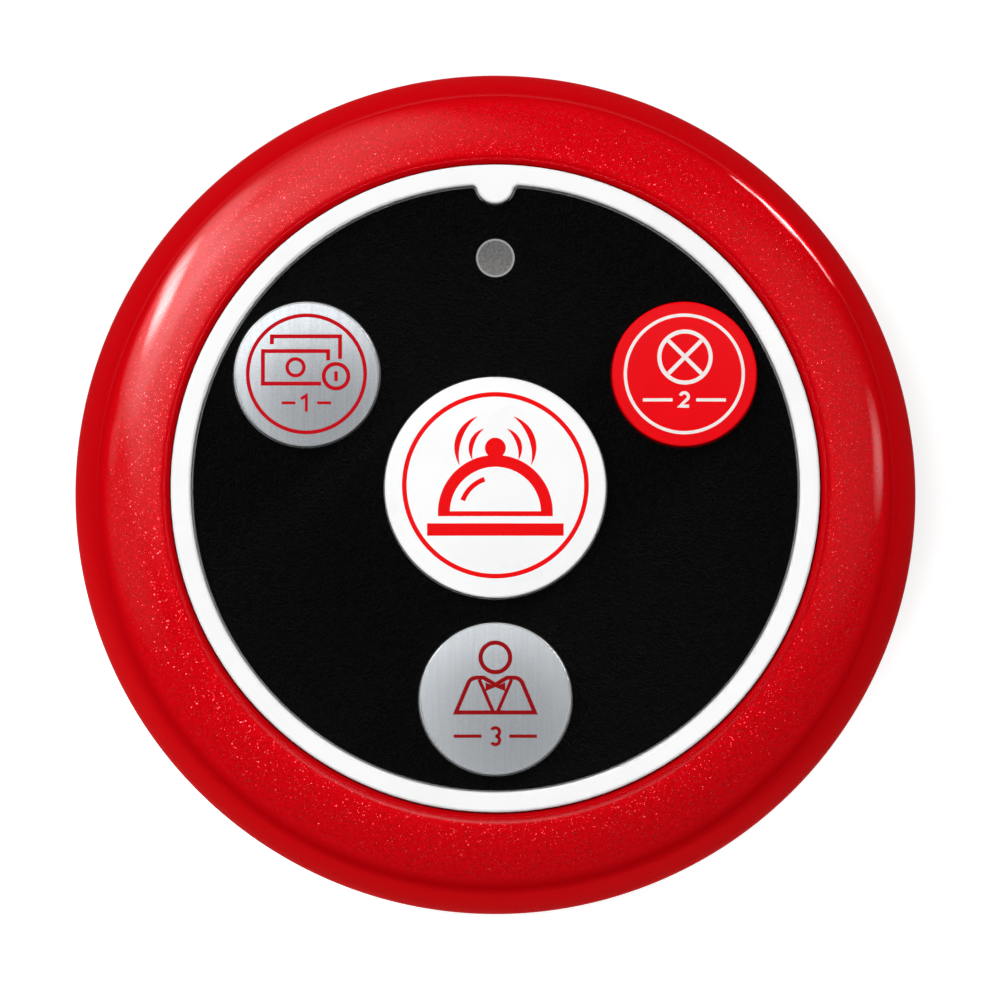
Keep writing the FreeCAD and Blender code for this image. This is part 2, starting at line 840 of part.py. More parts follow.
def base_cover():
    """The base: dished cover with a tongue into the rim, four screw posts, the
    battery well with its slotted ledge, four foot recesses and stiffening ribs."""
    dish = revolve(
        (0, base_z),
        *rounded(flat_radius, base_z, base_edge_radius, "out", "up"),
        (seam_radius, seam_z),
        (0, seam_z),
    )
    tongue_inner = tongue_radius - tongue_wall
    hollow = rod(tongue_inner, floor_top, seam_z)
    tongue = tube(tongue_radius, tongue_inner, seam_z, seam_z + tongue_height)
    well = rod(battery_outer, floor_top, board_z - well_headroom)
    inside = rod(tongue_radius, floor_top, joint_z)
    posts = [rod(case_post_radius, floor_top, joint_z, x, y) for x, y in case_screw_places]
    rib_start = battery_outer - rib_overlap
    rib_end = case_screw_radius - case_post_radius + rib_overlap
    rib = slab(rib_start, rib_end, rib_width, floor_top, floor_top + rib_height)
    ribs = [turned(rib, angle) for angle in case_screw_angles]
    holes = [
        rod(cap_bore, base_z, ledge_z),
        rod(ledge_radius, ledge_z, ledge_top),
        rod(chamber_radius, ledge_top, board_z),
    ]
    for x, y in case_screw_places:
        holes.append(rod(screw_head_radius + counterbore_clearance, base_z, head_seat_z, x, y))
        holes.append(rod(clearance_hole, head_seat_z, joint_z, x, y))
    for x, y in foot_places:
        holes.append(rod(foot_diameter / 2, base_z, base_z + foot_recess, x, y))
    for number in range(lug_count):
        middle = number * lug_pitch - cap_turn
        holes.append(sector(chamber_radius, skirt_outer, ledge_z, ledge_top, middle, slot_angle))
    clipped = [post.common(inside) for post in posts]
    base = cut_all(fused([dish.cut(hollow), tongue, well, *clipped, *ribs]), holes)
    return fused([base, *cap_stops()])


def cap_stops():
    """Ribs beside the lugs where the cap is shut and where it is fully turned."""
    stop_outer = battery_outer - battery_wall / 2
    reach = (lug_angle + stop_angle) / 2 + stop_clearance_angle
    return [
        sector(stop_outer, ledge_radius, ledge_top, lug_z + lug_thickness, middle, stop_angle)
        for number in range(lug_count)
        for middle in (number * lug_pitch + reach, number * lug_pitch - cap_turn - reach)
    ]


def battery_cap():
    """The twist cap: coin-slotted plate with a seal groove, skirt round the cell,
    and lugs that catch over the base's ledge."""
    groove_z = base_z + cap_plate / 2
    groove_half = seal_section / 2 + seal_groove_side
    groove_radius = cap_bore - seal_section - 2 * seal_groove_side
    plate = revolve(
        (0, base_z),
        (cap_radius, base_z),
        (cap_radius, groove_z - groove_half),
        (groove_radius, groove_z - groove_half),
        (groove_radius, groove_z + groove_half),
        (cap_radius, groove_z + groove_half),
        (cap_radius, cap_top),
        (0, cap_top),
    )
    skirt = tube(skirt_outer, skirt_inner, cap_top, cap_top + cap_skirt_height)
    lugs = [
        sector(lug_radius, skirt_inner, lug_z, lug_z + lug_thickness, number * lug_pitch, lug_angle)
        for number in range(lug_count)
    ]
    coin_axis = base_z + coin_slot_depth - coin_radius
    coin_side = vector(0, -coin_slot_width / 2, coin_axis)
    coin = Part.makeCylinder(coin_radius, coin_slot_width, coin_side, vector(0, 1, 0))
    return fused([plate, skirt, *lugs]).cut(coin)


def cap_seal():
    ring_radius = cap_bore - seal_groove_side - seal_section / 2
    return Part.makeTorus(ring_radius, seal_section / 2, vector(0, 0, base_z + cap_plate / 2))


def rubber_feet():
    radius = foot_diameter / 2 - foot_fit
    foot = revolve(
        (0, 0),
        (radius - foot_edge, 0),
        (radius, foot_edge),
        (radius, foot_proud + foot_recess),
        (0, foot_proud + foot_recess),
    )
    return Part.Compound([moved(foot, x, y) for x, y in foot_places])


# ---------------------------------------------------------------- screws
def screws(places, seat, grip_from, grip):
    """Pan-head screws put in from below: heads under seat, ends grip above grip_from."""
    bottom = seat - screw_head_height
    screw = revolve(
        (0, bottom),
        *rounded(screw_head_radius, bottom, screw_head_round, "out", "up"),
        (screw_head_radius, seat),
        (screw_radius, seat),
        (screw_radius, grip_from + grip),
        (0, grip_from + grip),
    )
    recess = fused([
        block(recess_length, recess_width, bottom, bottom + recess_depth),
        block(recess_width, recess_length, bottom, bottom + recess_depth),
    ])
    screw = screw.cut(recess)
    return Part.Compound([moved(screw, x, y) for x, y in places])


# ---------------------------------------------------------------- every node
def nodes():
    made = {
        "upper_housing": upper_housing(),
        "trim_frame": trim_frame(),
        "face_plate": face_plate(),
        "led_window": led_window(),
        "status_lamp": status_lamp(),
        "circuit_board": circuit_board(),
        "encoder_chip": leaded_chip(*encoder_place, encoder_leads_per_side),
        "radio_chip": leaded_chip(*radio_place, radio_leads_per_side),
        "crystal_can": crystal_can(),
        "resonator_can": resonator_can(),
        "capacitor_can": capacitor_can(),
        "chip_resistors": chip_resistors(),
        "antenna": antenna(),
        "coin_cell": coin_cell(),
        "negative_contact": negative_contact(),
        "positive_contact": positive_contact(),
        "base_cover": base_cover(),
        "battery_cap": battery_cap(),
        "cap_seal": cap_seal(),
        "rubber_feet": rubber_feet(),
        "case_screws": screws(case_screw_places, head_seat_z, joint_z, case_screw_grip),
        "frame_screws": screws(ear_screw_places, ear_z, ear_top, short_screw_grip),
        "board_screws": screws(board_screw_places, board_z, board_top, short_screw_grip),
    }
    for name, (x, y, radius) in KEYS.items():
        made[name + "_key"] = key_cap(x, y, radius)
        made[name + "_spring"] = return_spring(x, y)
        made[name + "_switch"] = switch_body(x, y)
        made[name + "_switch_lid"] = switch_lid_plate(x, y)
        made[name + "_plunger"] = plunger(x, y)
    return made


os.makedirs("parts", exist_ok=True)
for node, shape in nodes().items():
    shape.exportStep(os.path.join("parts", node + ".step"))
    print(node, len(shape.Solids), shape.isValid(), round(shape.Volume, 2))
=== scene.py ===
import json
import math

import bpy
import numpy as np
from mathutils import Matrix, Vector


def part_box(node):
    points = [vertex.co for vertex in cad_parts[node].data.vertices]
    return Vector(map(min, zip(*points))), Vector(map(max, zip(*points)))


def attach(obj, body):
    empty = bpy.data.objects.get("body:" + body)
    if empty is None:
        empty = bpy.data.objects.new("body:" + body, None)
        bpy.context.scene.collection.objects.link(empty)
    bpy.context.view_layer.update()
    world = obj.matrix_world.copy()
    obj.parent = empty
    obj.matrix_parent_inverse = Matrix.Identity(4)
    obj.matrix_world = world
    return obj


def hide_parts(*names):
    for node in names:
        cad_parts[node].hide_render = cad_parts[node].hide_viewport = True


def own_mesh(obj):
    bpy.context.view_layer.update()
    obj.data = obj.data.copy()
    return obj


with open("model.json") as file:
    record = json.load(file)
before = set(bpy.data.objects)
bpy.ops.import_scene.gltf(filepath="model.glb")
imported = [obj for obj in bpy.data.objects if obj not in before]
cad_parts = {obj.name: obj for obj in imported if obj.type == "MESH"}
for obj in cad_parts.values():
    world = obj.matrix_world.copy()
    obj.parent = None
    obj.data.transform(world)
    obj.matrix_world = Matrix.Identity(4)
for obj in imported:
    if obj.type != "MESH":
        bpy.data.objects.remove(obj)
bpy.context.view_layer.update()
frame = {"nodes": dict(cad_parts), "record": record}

# Looks of a round table call button. Metres, +Z up, in the frame of the CAD model:
# finishes for its parts, copies of the coil springs under the keys, and the keys' printed marks.
MM = 0.001
nodes = frame["nodes"]
slots = {subpart["node"]: subpart["material_slot"] for subpart in frame["record"]["subparts"]}
bpy.context.scene.view_settings.view_transform = "Standard"

# ---------------------------------------------------------------- camera
# Focal length and sensor width in millimetres, the camera's distance, azimuth and
# elevation seen from its target, and the target.
CAMERA_LENS = 263.7
CAMERA_SENSOR = 36
CAMERA_DISTANCE = 0.75
CAMERA_AZIMUTH = -90
CAMERA_ELEVATION = 86.2
CAMERA_TARGET = np.array([0.47, -0.656, 10.6]) * MM


def towards(azimuth, elevation):
    """Unit vector at azimuth degrees from +X towards +Y, elevation degrees above the table."""
    turn, rise = math.radians(azimuth), math.radians(elevation)
    level = math.cos(rise)
    return np.array([math.cos(turn) * level, math.sin(turn) * level, math.sin(rise)])


def set_camera():
    """The scene's camera. It looks along its own -Z at its target: tipped up from
    straight down about X, then turned about Z."""
    lens = bpy.data.cameras.new("camera")
    lens.lens = CAMERA_LENS
    lens.sensor_width = CAMERA_SENSOR
    camera = bpy.data.objects.new("camera", lens)
    bpy.context.scene.collection.objects.link(camera)
    away = CAMERA_DISTANCE * towards(CAMERA_AZIMUTH, CAMERA_ELEVATION)
    camera.location = CAMERA_TARGET + away
    tip, turn = math.radians(90 - CAMERA_ELEVATION), math.radians(90 + CAMERA_AZIMUTH)
    camera.rotation_euler = (tip, 0, turn)
    bpy.context.scene.camera = camera


set_camera()


# ---------------------------------------------------------------- node building
def add(tree, kind, values=None, **settings):
    """A node in tree: settings are its own choices, values go to its input sockets."""
    made = tree.nodes.new("ShaderNode" + kind)
    for key, setting in settings.items():
        setattr(made, key, setting)
    for socket, value in (values or {}).items():
        feed(tree, made.inputs[socket], value)
    return made


def feed(tree, socket, value):
    """An output socket is joined to socket, and any other value set on it."""
    if isinstance(value, bpy.types.NodeSocket):
        tree.links.new(value, socket)
    elif isinstance(value, tuple) and len(value) == 3 and socket.type == "RGBA":
        socket.default_value = (*value, 1.0)
    else:
        socket.default_value = value


def math_node(tree, operation, first, second=0.0, third=0.0):
    """The result of a Math node."""
    made = add(tree, "Math", {0: first, 1: second, 2: third}, operation=operation)
    return made.outputs[0]


def vector_node(tree, operation, first, second=(0.0, 0.0, 0.0)):
    """The result of a Vector Math node: a number for a length or dot product."""
    made = add(tree, "VectorMath", {0: first, 1: second}, operation=operation)
    return made.outputs["Value" if operation in ("LENGTH", "DOT_PRODUCT") else "Vector"]


def flat_length(tree, vector):
    """The length of a vector seen from above."""
    return vector_node(tree, "LENGTH", vector_node(tree, "MULTIPLY", vector, (1.0, 1.0, 0.0)))


def scaled(tree, vector, factor):
    """A vector times a number."""
    made = add(tree, "VectorMath", {0: vector, "Scale": factor}, operation="SCALE")
    return made.outputs["Vector"]


def ramp(tree, value, low, high, to_low=0.0, to_high=1.0):
    """Smoothly from to_low, where value is low, to to_high, where it is high."""
    values = {
        "Value": value, "From Min": low, "From Max": high, "To Min": to_low, "To Max": to_high,
    }
    return add(tree, "MapRange", values, interpolation_type="SMOOTHSTEP").outputs["Result"]


def mixed(tree, share, first, second, blend="MIX"):
    """A share of the second colour laid over the first."""
    made = add(tree, "Mix", data_type="RGBA", blend_type=blend)
    feed(tree, made.inputs[0], share)
    feed(tree, made.inputs[6], first)
    feed(tree, made.inputs[7], second)
    return made.outputs[2]


def group(name, inputs, outputs):
    """An empty shader group with named sockets: (name, kind, default) for an input and
    (name, kind) for an output."""
    tree = bpy.data.node_groups.new(name, "ShaderNodeTree")
    for label, kind, default in inputs:
        socket = tree.interface.new_socket(label, in_out="INPUT", socket_type="NodeSocket" + kind)
        if default is not None:
            socket.default_value = default
    for label, kind in outputs:
        tree.interface.new_socket(label, in_out="OUTPUT", socket_type="NodeSocket" + kind)
    given, out = tree.nodes.new("NodeGroupInput"), tree.nodes.new("NodeGroupOutput")
    return tree, given.outputs, out.inputs


# ---------------------------------------------------------------- shared effects
# The broad noise's scale as a share of the grain's, the scale and weight of the cloud
# behind brushed lines, and the radius of a flake as a share of its cell.
BROAD_SHARE = 0.04
CLOUD_SCALE = 260.0
CLOUD_WEIGHT = 0.35
FLAKE_RADIUS = 0.45


def make_moulded_grain():
    """Two sizes of noise: a fine grain for the bump, a broad one that varies the gloss."""
    tree, given, out = group(
        "moulded_grain",
        [
            ("Vector", "Vector", None), ("Grain", "Float", 4000.0),
            ("Gloss", "Float", 0.4), ("Spread", "Float", 0.1),
        ],
        [("Height", "Float"), ("Roughness", "Float"), ("Shade", "Float")],
    )
    vector, grain = given["Vector"], given["Grain"]
    broad_scale = math_node(tree, "MULTIPLY", grain, BROAD_SHARE)
    fine = add(tree, "TexNoise", {"Vector": vector, "Scale": grain, "Detail": 2.0})
    broad = add(tree, "TexNoise", {"Vector": vector, "Scale": broad_scale, "Detail": 3.0})
    swing = math_node(tree, "SUBTRACT", broad.outputs["Fac"], 0.5)
    roughness = math_node(tree, "MULTIPLY_ADD", swing, given["Spread"], given["Gloss"])
    feed(tree, out["Height"], fine.outputs["Fac"])
    feed(tree, out["Roughness"], roughness)
    feed(tree, out["Shade"], broad.outputs["Fac"])
    return tree


def make_brushed_lines():
    """Noise drawn out along Y into fine lines, over a soft cloud. Length is the lines'
    scale along Y as a share of their scale across."""
    tree, given, out = group(
        "brushed_lines",
        [("Vector", "Vector", None), ("Lines", "Float", 6000.0), ("Length", "Float", 0.04)],
        [("Shade", "Float"), ("Height", "Float")],
    )
    vector, across = given["Vector"], given["Lines"]
    along = math_node(tree, "MULTIPLY", across, given["Length"])
    stretch = add(tree, "CombineXYZ", {"X": across, "Y": along, "Z": along}).outputs[0]
    drawn = vector_node(tree, "MULTIPLY", vector, stretch)
    lines = add(tree, "TexNoise", {"Vector": drawn, "Scale": 1.0, "Detail": 3.0}).outputs["Fac"]
    cloud = add(tree, "TexNoise", {"Vector": vector, "Scale": CLOUD_SCALE, "Detail": 2.0})
    both = math_node(tree, "MULTIPLY_ADD", cloud.outputs["Fac"], CLOUD_WEIGHT, lines)
    feed(tree, out["Shade"], both)
    feed(tree, out["Height"], lines)
    return tree


def make_flake_specks():
    """Cells in space, of which a small share are flakes. A flake is round, and tips its
    normal by its cell's own random colour."""
    tree, given, out = group(
        "flake_specks",
        [
            ("Vector", "Vector", None), ("Cells", "Float", 8000.0),
            ("Share", "Float", 0.1), ("Tip", "Float", 0.4),
        ],
        [("Mask", "Float"), ("Glint", "Float"), ("Normal", "Vector")],
    )
    values = {"Vector": given["Vector"], "Scale": given["Cells"]}
    cells = add(tree, "TexVoronoi", values, feature="F1")
    own = add(tree, "SeparateColor", {0: cells.outputs["Color"]})
    limit = math_node(tree, "SUBTRACT", 1.0, given["Share"])
    chosen = math_node(tree, "GREATER_THAN", own.outputs[0], limit)
    inside = math_node(tree, "LESS_THAN", cells.outputs["Distance"], FLAKE_RADIUS)
    mask = math_node(tree, "MULTIPLY", chosen, inside)
    centred = vector_node(tree, "SUBTRACT", cells.outputs["Color"], (0.5, 0.5, 0.5))
    tip = scaled(tree, centred, given["Tip"])
    tipped = vector_node(tree, "ADD", add(tree, "NewGeometry").outputs["Normal"], tip)
    feed(tree, out["Mask"], mask)
    feed(tree, out["Glint"], own.outputs[1])
    feed(tree, out["Normal"], vector_node(tree, "NORMALIZE", tipped))
    return tree


moulded_grain = make_moulded_grain()
brushed_lines = make_brushed_lines()
flake_specks = make_flake_specks()

# ---------------------------------------------------------------- finishes
# Depths of bumps.
LINE_DEPTH = 0.004 * MM
MOTTLE_DEPTH = 0.006 * MM
FROST_DEPTH = 0.03 * MM
TRACK_DEPTH = 0.03 * MM

# How far a moulded piece's colour is darkened where its broad noise is 0, and how much of
# that comes back where it is 1.
GRAIN_SHADE = 0.92
GRAIN_SWING = 0.16

# Silver paint: the darker and lighter shade of its face, and the lighter colour painted over its
# edges as a highlight.
SILVER_FACE = ((0.235, 0.249, 0.264), (0.282, 0.299, 0.316))
SILVER_EDGE_HIGHLIGHT = (0.78, 0.79, 0.8)

# Rim paint: the darker and lighter shade of its crown, the lip's red and the side's red, both
# darker as painted shade, and what the flakes glint in. Then its two sizes of flake: cells to
# a metre, share of the cells that hold a flake, and how far a flake is tipped.
CROWN_REDS = ((0.64, 0.0004, 0.003), (0.8, 0.0008, 0.006))
LIP_SHADE_RED = (0.5, 0.0004, 0.003)
SIDE_SHADE_RED = (0.64, 0.0005, 0.004)
GLINT_RED = (1.0, 0.13, 0.16)
SMALL_FLAKES = {"Cells": 9500.0, "Share": 0.12, "Tip": 0.28}
LARGE_FLAKES = {"Cells": 5600.0, "Share": 0.03, "Tip": 0.56}

# Radii on the rim from which and up to which a change runs: the lip's painted shade gives way
# to the crown, the flakes set in, the red darkens into the side's painted shade, and the clear
# coat sets in.
LIP_CHANGE = (33.65 * MM, 34.2 * MM)
FLAKE_CHANGE = (39.9 * MM, 38.4 * MM)
SIDE_SHADE_CHANGE = (39.3 * MM, 40.1 * MM)
COAT_CHANGE = (40.6 * MM, 39.8 * MM)

# The window: darker and lighter speckle of its cool part, painted as shade, and of its warm part,
# painted as light, and the colour of its painted edge highlight. About its middle the edge
# highlight sets in with the radius, the lit warm part with Y.
WINDOW_SHADED_COOL = ((0.038, 0.038, 0.04), (0.08, 0.08, 0.082))
WINDOW_LIT_WARM = ((0.086, 0.076, 0.069), (0.142, 0.128, 0.119))
WINDOW_EDGE_HIGHLIGHT = (0.42, 0.42, 0.42)
EDGE_HIGHLIGHT_CHANGE = (1.68 * MM, 1.84 * MM)
LIT_WARM_CHANGE = (1.5 * MM, -2.0 * MM)

# Solder mask over bare board and over copper.
MASK_GREENS = ((0.01, 0.1, 0.035), (0.03, 0.2, 0.07))


def finish(name, colour, **sockets):
    """A material, its tree, its Principled surface and its Object coordinates. Sockets are
    named with _ for a space."""
    material = bpy.data.materials.new(name)
    material.use_nodes = True
    tree = material.node_tree
    surface = tree.nodes["Principled BSDF"]
    feed(tree, surface.inputs["Base Color"], colour)
    for label, value in sockets.items():
        feed(tree, surface.inputs[label.replace("_", " ")], value)
    place = add(tree, "TexCoord").outputs["Object"]
    return material, tree, surface, place


def use_group(tree, shared, values):
    """The outputs of a shared group's node in tree."""
    made = add(tree, "Group", node_tree=shared)
    for label, value in values.items():
        feed(tree, made.inputs[label], value)
    return made.outputs


def bumped(tree, surface, height, depth):
    """Height as a bump of depth metres on the surface."""
    bump = add(tree, "Bump", {"Height": height, "Distance": depth, "Strength": 1.0})
    feed(tree, surface.inputs["Normal"], bump.outputs[0])


def grained(name, colour, gloss, grain, depth, spread=0.15, mirror=0.5):
    """Moulded plastic or rubber: grain in the bump, gloss and colour that vary a little."""
    material, tree, surface, place = finish(name, colour, Specular_IOR_Level=mirror)
    values = {"Vector": place, "Grain": grain, "Gloss": gloss, "Spread": spread}
    out = use_group(tree, moulded_grain, values)
    shade = math_node(tree, "MULTIPLY_ADD", out["Shade"], GRAIN_SWING, GRAIN_SHADE)
    feed(tree, surface.inputs["Roughness"], out["Roughness"])
    tint = add(tree, "CombineColor", {0: shade, 1: shade, 2: shade}).outputs[0]
    feed(tree, surface.inputs["Base Color"], mixed(tree, 1.0, colour, tint, "MULTIPLY"))
    bumped(tree, surface, out["Height"], depth)
    return material


def brushed(name, dark, light, gloss, lines):
    """Metal with fine lines along Y, in shades between dark and light."""
    material, tree, surface, place = finish(name, light, Metallic=1.0)
    out = use_group(tree, brushed_lines, {"Vector": place, "Lines": lines})
    share = ramp(tree, out["Shade"], 0.45, 0.95)
    roughness = math_node(tree, "MULTIPLY_ADD", out["Shade"], -0.1, gloss + 0.07)
    feed(tree, surface.inputs["Base Color"], mixed(tree, share, dark, light))
    feed(tree, surface.inputs["Roughness"], roughness)
    bumped(tree, surface, out["Height"], LINE_DEPTH)
    return material


def silver_paint():
    """Fine silver paint: a very small bluish mottle over faint lines along Y, and a painted
    highlight, lighter over the key's rounded edge."""
    material, tree, surface, place = finish("key_silver", (0.36, 0.38, 0.40), Metallic=0.28)
    mottle = add(tree, "TexNoise", {"Vector": place, "Scale": 5200.0, "Detail": 3.0})
    lines = use_group(tree, brushed_lines, {"Vector": place, "Lines": 3200.0, "Length": 0.05})
    half_mottle = math_node(tree, "MULTIPLY", mottle.outputs["Fac"], 0.5)
    blend = math_node(tree, "MULTIPLY_ADD", lines["Height"], 0.5, half_mottle)
    shade = ramp(tree, blend, 0.36, 0.64)
    face = mixed(tree, shade, *SILVER_FACE)
    normal = add(tree, "NewGeometry").outputs["Normal"]
    upright = add(tree, "SeparateXYZ", {0: normal}).outputs["Z"]
    # Painted highlight: lighter colour where the rounded edge tips away from straight up.
    edge = ramp(tree, upright, 0.97, 0.8)
    feed(tree, surface.inputs["Base Color"], mixed(tree, edge, face, SILVER_EDGE_HIGHLIGHT))
    feed(tree, surface.inputs["Roughness"], math_node(tree, "MULTIPLY_ADD", shade, -0.04, 0.2))
    bumped(tree, surface, mottle.outputs["Fac"], MOTTLE_DEPTH)
    return material


def rim_paint():
    """Red candy paint: a red with a fine cloud and small flakes, under a thin clear coat.
    The flakes lie on the crown, between its lip and its rounded side. The lip and the side are
    painted a darker red as shade, and the side is part metal and nearly bare of the coat."""
    material, tree, surface, place = finish(
        "rim_paint", (0.7, 0.001, 0.006), Specular_IOR_Level=0.0,
        Specular_Tint=(1.0, 0.02, 0.04), Coat_Roughness=0.04, Coat_IOR=1.6,
    )
    radius = flat_length(tree, place)
    crown = ramp(tree, radius, *FLAKE_CHANGE)
    lip = ramp(tree, radius, *LIP_CHANGE)
    side = ramp(tree, radius, *SIDE_SHADE_CHANGE)
    coated = ramp(tree, radius, *COAT_CHANGE)
    small = use_group(tree, flake_specks, {"Vector": place, **SMALL_FLAKES})
    large = use_group(tree, flake_specks, {"Vector": place, **LARGE_FLAKES})
    mask = math_node(tree, "MAXIMUM", small["Mask"], large["Mask"])
    mask = math_node(tree, "MULTIPLY", mask, math_node(tree, "MULTIPLY", crown, lip))
    glint = math_node(tree, "MULTIPLY", mask, small["Glint"])
    cloud = add(tree, "TexNoise", {"Vector": place, "Scale": 3000.0, "Detail": 4.0})
    shade = ramp(tree, cloud.outputs["Fac"], 0.3, 0.7)
    red = mixed(tree, shade, *CROWN_REDS)
    # Painted shade: a darker red on the lip and on the rounded side.
    red = mixed(tree, lip, LIP_SHADE_RED, red)
    red = mixed(tree, side, red, SIDE_SHADE_RED)
    feed(tree, surface.inputs["Base Color"], mixed(tree, glint, red, GLINT_RED))
    bare = math_node(tree, "SUBTRACT", 1.0, coated)
    metal = math_node(tree, "MULTIPLY_ADD", bare, 0.2, 0.06)
    metal = math_node(tree, "MULTIPLY_ADD", mask, 0.78, metal)
    feed(tree, surface.inputs["Metallic"], metal)
    feed(tree, surface.inputs["Roughness"], math_node(tree, "MULTIPLY_ADD", crown, 0.12, 0.18))
    glossy = math_node(tree, "MULTIPLY", coated, lip)
    feed(tree, surface.inputs["Coat Weight"], math_node(tree, "MULTIPLY_ADD", glossy, 0.87, 0.03))
    normal = add(tree, "Mix", data_type="VECTOR")
    feed(tree, normal.inputs[0], mask)
    feed(tree, normal.inputs[4], add(tree, "NewGeometry").outputs["Normal"])
    feed(tree, normal.inputs[5], large["Normal"])
    feed(tree, surface.inputs["Normal"], normal.outputs[1])
    return material


def window_plastic():
    """Frosted clear plastic with a fine speckle: painted lighter and warmer towards its near side
    as light, darker away from it as shade, and a bright line round the edge as a painted
    highlight."""
    material, tree, surface, place = finish(
        "window_clear", (0.12, 0.12, 0.12), Roughness=0.3, Specular_IOR_Level=0.3,
    )
    low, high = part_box("led_window")
    local = vector_node(tree, "SUBTRACT", place, tuple((low + high) / 2))
    along = add(tree, "SeparateXYZ", {0: local}).outputs["Y"]
    # Painted light and shade: lighter and warmer towards the near side, darker away from it.
    near_lit = ramp(tree, along, *LIT_WARM_CHANGE)
    # Painted highlight: a bright line round the edge.
    edge = ramp(tree, flat_length(tree, local), *EDGE_HIGHLIGHT_CHANGE, 0.0, 0.6)
    frost = add(tree, "TexNoise", {"Vector": place, "Scale": 3500.0, "Detail": 3.0})
    speckle = ramp(tree, frost.outputs["Fac"], 0.35, 0.65)
    shaded_cool, lit_warm = mixed(tree, speckle, *WINDOW_SHADED_COOL), mixed(tree, speckle, *WINDOW_LIT_WARM)
    body = mixed(tree, near_lit, shaded_cool, lit_warm)
    feed(tree, surface.inputs["Base Color"], mixed(tree, edge, body, WINDOW_EDGE_HIGHLIGHT))
    bumped(tree, surface, frost.outputs["Fac"], FROST_DEPTH)
    return material


def lamp_lens():
    """Clear plastic that is a little hazy."""
    material, tree, surface, place = finish(
        "lamp_lens", (0.9, 0.86, 0.8), Roughness=0.12, IOR=1.5, Transmission_Weight=0.8,
    )
    haze = add(tree, "TexNoise", {"Vector": place, "Scale": 1500.0})
    roughness = math_node(tree, "MULTIPLY_ADD", haze.outputs["Fac"], 0.15, 0.05)
    feed(tree, surface.inputs["Roughness"], roughness)
    return material


def board_green():
    """Solder mask over copper: tracks on a square pattern, lighter where copper lies below."""
    material, tree, surface, place = finish("board_green", (0.012, 0.12, 0.045), Roughness=0.3)
    tracks = add(tree, "TexBrick", {
        "Vector": place, "Scale": 180.0, "Mortar Size": 0.06, "Mortar Smooth": 0.1,
        "Brick Width": 0.9, "Row Height": 0.35,
    })
    noise = add(tree, "TexNoise", {"Vector": place, "Scale": 120.0})
    lanes = ramp(tree, noise.outputs["Fac"], 0.45, 0.5)
    copper = math_node(tree, "MULTIPLY", tracks.outputs["Fac"], lanes)
    feed(tree, surface.inputs["Base Color"], mixed(tree, copper, *MASK_GREENS))
    bumped(tree, surface, copper, TRACK_DEPTH)
    return material


def print_ink(name, colour):
    """Screen-printed ink: nearly flat, with a faint unevenness in colour."""
    material, tree, surface, place = finish(name, colour, Roughness=0.4, Specular_IOR_Level=0.03)
    film = add(tree, "TexNoise", {"Vector": place, "Scale": 2200.0, "Detail": 2.0})
    darker = tuple(0.88 * part for part in colour)
    feed(tree, surface.inputs["Base Color"], mixed(tree, film.outputs["Fac"], darker, colour))
    return material


# Moulded pieces: colour, roughness, scale and depth of the grain, and where they differ
# from the usual, how far the roughness varies and how strongly the face mirrors.
MOULDED = {
    "trim_white": ((0.92, 0.92, 0.92), 0.35, 3000.0, 0.000003, 0.1, 0.3),
    "plate_black": ((0.0012, 0.0012, 0.0012), 0.34, 4200.0, 0.0006, 0.2, 0.066),
    "key_white": ((0.92, 0.92, 0.92), 0.28, 2500.0, 0.000002, 0.1, 0.3),
    "key_red": ((0.85, 0.002, 0.006), 0.25, 2500.0, 0.000002, 0.1, 0.02),
    "base_black": ((0.012, 0.012, 0.013), 0.5, 2200.0, 0.00005),
    "seal_rubber": ((0.02, 0.02, 0.02), 0.6, 3000.0, 0.00001),
    "foot_rubber": ((0.03, 0.03, 0.03), 0.7, 1800.0, 0.00006),
    "switch_black": ((0.015, 0.015, 0.015), 0.45, 5000.0, 0.00001),
    "plunger_black": ((0.02, 0.02, 0.02), 0.4, 5000.0, 0.00001),
    "chip_black": ((0.018, 0.018, 0.018), 0.55, 7000.0, 0.00002),
    "resistor_black": ((0.02, 0.02, 0.02), 0.35, 5000.0, 0.00001),
}

# Metals: darker and lighter shade, roughness, and scale of the lines across.
METALS = {
    "screw_steel": ((0.4, 0.4, 0.41), (0.6, 0.6, 0.62), 0.32, 3000.0),
    "spring_steel": ((0.5, 0.5, 0.5), (0.68, 0.68, 0.68), 0.25, 3000.0),
    "lid_steel": ((0.5, 0.5, 0.5), (0.66, 0.66, 0.66), 0.35, 5000.0),
    "contact_steel": ((0.52, 0.52, 0.5), (0.68, 0.68, 0.65), 0.3, 4000.0),
    "cell_steel": ((0.55, 0.55, 0.55), (0.7, 0.7, 0.7), 0.28, 5000.0),
    "tinned_metal": ((0.5, 0.5, 0.5), (0.64, 0.64, 0.64), 0.38, 2500.0),
    "can_metal": ((0.6, 0.6, 0.6), (0.75, 0.75, 0.75), 0.3, 2500.0),
    "aerial_copper": ((0.5, 0.2, 0.1), (0.75, 0.36, 0.2), 0.3, 2500.0),
}

FINISHES = {
    "rim_paint": rim_paint(),
    "window_clear": window_plastic(),
    "lamp_lens": lamp_lens(),
    "key_silver": silver_paint(),
    "board_green": board_green(),
    **{name: grained(name, *row) for name, row in MOULDED.items()},
    **{name: brushed(name, *row) for name, row in METALS.items()},
}

for node, slot in slots.items():
    for material_slot in nodes[node].material_slots:
        material_slot.material = FINISHES[slot]


# ---------------------------------------------------------------- meshes
# Sizes of the rim in millimetres, as in the CAD model: the radii of its crown, its side
# above and below the waist and its lip, the lean of its shoulder in degrees, and the radius
# of its bore.
RIM_CROWN = 14.0
RIM_SIDE = 8.4
RIM_UNDER = 11.0
RIM_LIP = 0.5
RIM_SHOULDER = 35.0
RIM_BORE = 32.95

